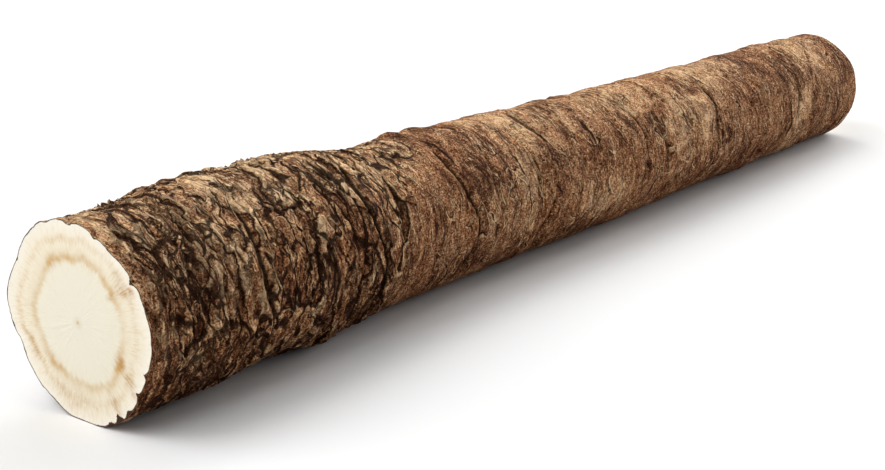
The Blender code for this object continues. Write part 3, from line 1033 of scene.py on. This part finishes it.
def bark_finish():
    """Dull bark: brown to tan blotches and streaks that run round the root, and painted shade in
    cracks.

    The craggy part has plates, chips and torn layers. Plates that lie whole have no fine
    cracks, and just behind the crown cut the cracks are fainter.
    """
    s = Shader("bark", BARK_ROUGHNESS, BARK_GLOSS)
    along, _, up = s.parts(s.place)
    p = bark_patterns(s, s.ease(along, *NEAR_CROWN))
    # Lips lighten the tone as painted highlight, and also tilt the relief
    p["lip"] = s.weighted(p, LIPS, "MAXIMUM")
    blotch = s.product(p["blotch"], s.ease(p["craggy"], *BLOTCH_TONE))
    grain = s.product(p["grain"], s.ease(p["craggy"], *GRAIN_TONE))
    tone = s.total(s.weighted(p, TONE), blotch, grain, TONE_START)
    # Painted shade underneath: the tone darkens towards the floor
    tone = s.total(tone, s.ease(along, *CROWN_TONE), s.ease(up, *UNDERSIDE_PAINTED_SHADE))
    warmth = s.ease(s.noise(s.place, *WARM), *WARM_STEP)
    colour = s.mix(warmth, s.ramp(tone, BARK_COOL), s.ramp(tone, BARK_WARM))

    # Painted shade in cracks, slits, furrows and at the feet of layers: their masks lay the
    # near-black colour
    crack = s.highest(p["flake_crack"], p["layer_foot"], p["thread_crack"])
    # Flake, layer and thread cracks are full on the paler top, which is partly painted light, and
    # fainter at the sides
    crack = s.product(crack, s.ease(p["pale_and_painted_lit_top"], *PALE_LIT_TOP_CRACK))
    crack = s.product(s.highest(crack, s.weighted(p, FINE_CRACKS, "MAXIMUM")), p["broken"])
    crack = s.highest(crack, p["scale_crack"], p["plate_crack"], p["hollow_shade"])
    # The cracks' painted shade fades just behind the crown cut, leaving a painted light rim at its
    # edge
    p["crack"] = s.product(crack, s.ease(along, *CUT_EDGE))
    colour = s.mix(s.product(p["crack"], CRACK_SHADE_COVER), colour, PAINTED_CRACK_SHADE)
    s.put(colour, s.main.inputs["Base Color"])
    s.put(s.bump(s.weighted(p, RELIEF), *BARK_BUMP), s.main.inputs["Normal"])
    return s.material


FLESH_TONES = (
    (0.0, (206, 180, 132)),
    (0.026, (236, 226, 202)),
    (0.08, (242, 236, 219)),
    (0.55, (241, 235, 216)),
    (0.7, (243, 234, 212)),
    (0.86, (246, 237, 217)),
    (1.0, (252, 246, 233)),
)
RING_TAN = linear(208, 166, 96)
STAIN_TAN = linear(184, 134, 68)
COMB_TAN = linear(224, 196, 144)
RIND = linear(62, 36, 20)
FLESH_SHADE = (0.78, 0.775, 0.765, 1.0)
# Painted shade: the tail cut's flesh is darkened against the strong light from that end
TAIL_FLESH_PAINTED_SHADE = (0.62, 0.575, 0.5, 1.0)
# Noises on the rays of the cut: scale round, scale outwards, detail, roughness
WAVE = (3.4, 0.0, 2.0)
FINE_WAVE = (14.0, 0.0, 2.0)
COMB = (42.0, 9.0, 2.0, 0.6)
FINE_COMB = (90.0, 14.0, 1.0)
WOBBLE = {"wave": 0.05, "fine_wave": 0.06, "comb": 0.035}
MOTTLE_NOISE = (260.0, 3.0, 0.65)
STAIN_NOISE = (900.0, 2.0)
TORN_NOISE = (1500.0, 3.0, 0.7)
SPECK_NOISE = (1800.0, 3.0, 0.6)
# Smooth steps and bands, as for the bark
MOTTLE_STEP = (0.33, 0.68, 0.35, 1.0)
COMBING_STEP = (0.44, 0.62)
COMB_BAND = (0.5, 0.66, 0.84, 0.98, 0.25)
COMB_BAND_SHARE = 0.26
COMB_CENTRE = (0.05, 0.45, 0.03, 0.16)
RING_LINE = (-0.055, 0.005, 0.01, 0.08)
RING_HALO = (-0.07, 0.0, 0.0, 0.15)
RING_SHARES = {"line": 0.54, "halo": 0.34}
OUTER_BAND = (-0.08, 0.0, 0.0, 0.06)
OUTER_COMBED = (0.0, 1.0, 0.55, 1.0)
OUTER_SHARE = 0.64
RING_MOTTLE = (0.35, 1.0, 0.6, 1.1)
STAIN_COMBED = (0.3, 0.62, 0.55, 1.25)
STAIN_MOTTLE = (0.35, 0.6, 0.5, 1.1)
STAIN_COVER = 0.9
RIND_TEAR = 1.6
RIND_FADE = (-0.008, 0.004)
RIND_ROUGHNESS = (0.0, 1.0, 0.6, 0.95)
FLESH_GLOSS = 0.25
SPECK_BUMP = (0.3, 0.00012)
COMB_BUMP = (0.35, 0.00015)
TAIL_END = (0.0, 0.1)


def ray_noise(s, ray, around, outwards, *settings):
    """Noise on the rays of a cut, with a scale round it and another outwards."""
    return s.noise(s.scaled(ray, (around, around, outwards)), 1.0, *settings)


def flesh_finish():
    """Moist pale flesh: two uneven tan rings, radial combing, stains and a thin dark rind."""
    s = Shader("flesh", RIND_ROUGHNESS[2], FLESH_GLOSS)
    out = s.value("out")
    ray = s.value("ray", "Vector")
    comb = ray_noise(s, ray, *COMB)
    wobbles = {
        "wave": s.centred(ray_noise(s, ray, *WAVE)),
        "fine_wave": s.centred(ray_noise(s, ray, *FINE_WAVE)),
        "comb": s.centred(comb),
    }
    reach = s.total(out, s.weighted(wobbles, WOBBLE))
    mottle = s.ease(s.noise(s.place, *MOTTLE_NOISE), *MOTTLE_STEP)

    combing = s.product(s.total(comb, ray_noise(s, ray, *FINE_COMB)), 0.5)
    combing = s.ease(combing, *COMBING_STEP)
    combed = s.product(s.band(out, *COMB_BAND), COMB_BAND_SHARE)
    combed = s.product(s.total(combed, s.ease(out, *COMB_CENTRE)), mottle, combing)
    colour = s.mix(combed, s.ramp(out, FLESH_TONES), COMB_TAN)

    inner = s.math("SUBTRACT", reach, s.value("inner_ring"))
    inner = {"line": s.band(inner, *RING_LINE), "halo": s.band(inner, *RING_HALO)}
    inner = s.product(s.weighted(inner, RING_SHARES), s.value("inner_strength"))
    outer = s.math("SUBTRACT", reach, s.value("outer_ring"))
    outer = s.product(s.band(outer, *OUTER_BAND), s.ease(combing, *OUTER_COMBED))
    outer = s.product(outer, s.value("outer_strength"), OUTER_SHARE)
    rings = s.product(s.highest(inner, outer), s.ease(mottle, *RING_MOTTLE))
    colour = s.mix(rings, colour, RING_TAN)

    stain = s.product(s.value("stain"), s.ease(comb, *STAIN_COMBED))
    stain = s.product(stain, s.ease(s.noise(s.place, *STAIN_NOISE), *STAIN_MOTTLE))
    stain = s.math("MULTIPLY", stain, STAIN_COVER, clamp=True)
    colour = s.mix(stain, colour, STAIN_TAN)

    torn = s.product(s.noise(s.place, *TORN_NOISE), RIND_TEAR)
    start = s.math("SUBTRACT", 1.0, s.product(s.value("rim"), torn))
    rind = s.ease(out, *[s.total(start, shift) for shift in RIND_FADE])
    colour = s.mix(rind, colour, RIND)
    s.put(s.ease(rind, *RIND_ROUGHNESS), s.main.inputs["Roughness"])
    # Painted shade on the tail cut, against the strong light from that end
    tail_end = s.ease(s.parts(s.place)[0], *TAIL_END)
    shade = s.mix(tail_end, FLESH_SHADE, TAIL_FLESH_PAINTED_SHADE)
    s.put(s.mix(1.0, colour, shade, "MULTIPLY"), s.main.inputs["Base Color"])
    specks = s.bump(s.noise(s.place, *SPECK_NOISE), *SPECK_BUMP)
    s.put(s.bump(comb, *COMB_BUMP, Normal=specks), s.main.inputs["Normal"])
    return s.material


def add_floor():
    """A plain pale floor, far wider than the view."""
    mesh = bpy.data.meshes.new("floor")
    sides = ((-1, -1), (1, -1), (1, 1), (-1, 1))
    corners = [(x * FLOOR_HALF, y * FLOOR_HALF, 0.0) for x, y in sides]
    mesh.from_pydata(corners, [], [(0, 1, 2, 3)])
    floor = bpy.data.objects.new("floor", mesh)
    scene.collection.objects.link(floor)
    s = Shader("floor_white", FLOOR_ROUGHNESS, FLOOR_GLOSS)
    s.put(FLOOR_WHITE, s.main.inputs["Base Color"])
    mesh.materials.append(s.material)


def add_lights():
    """A faint white surround, and square soft boxes that look at the root from round about."""
    world = bpy.data.worlds.new("soft_white")
    world.use_nodes = True
    ground = world.node_tree.nodes["Background"]
    ground.inputs["Color"].default_value = (1.0, 1.0, 1.0, 1.0)
    ground.inputs["Strength"].default_value = SURROUND
    scene.world = world
    for i, (bearing, height, power) in enumerate(SOFTBOXES):
        lamp = bpy.data.lights.new(f"softbox_{i + 1}", "AREA")
        lamp.shape = "SQUARE"
        lamp.size = SOFTBOX_SIZE
        lamp.energy = power
        light = bpy.data.objects.new(lamp.name, lamp)
        around = math.radians(bearing)
        up = math.radians(height)
        level = SOFTBOX_REACH * math.cos(up)
        high = SOFTBOX_REACH * math.sin(up)
        light.location = (level * math.cos(around), level * math.sin(around), high)
        light.rotation_euler = (math.pi / 2.0 - up, 0.0, around + math.pi / 2.0)
        scene.collection.objects.link(light)
    scene.view_settings.view_transform = "Standard"
    scene.view_settings.look = "None"


def add_camera():
    """The photograph's camera."""
    lens = bpy.data.cameras.new("camera")
    lens.sensor_fit = "HORIZONTAL"
    lens.sensor_width = SENSOR_MM
    lens.lens = LENS_MM
    lens.clip_start = 0.01
    lens.clip_end = 20.0
    camera = bpy.data.objects.new("camera", lens)
    camera.location = CAMERA_PLACE
    camera.rotation_euler = (math.pi / 2.0 - CAMERA_PITCH, 0.0, CAMERA_YAW - math.pi / 2.0)
    scene.collection.objects.link(camera)
    scene.camera = camera


def main():
    """Camera, floor and light first, then the root's skin."""
    add_camera()
    add_floor()
    add_lights()
    root = build_root()
    scene.collection.objects.link(root)
    root.data.materials.append(bark_finish())
    root.data.materials.append(flesh_finish())
    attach(root, "root")
    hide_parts("burdock_root")


main()
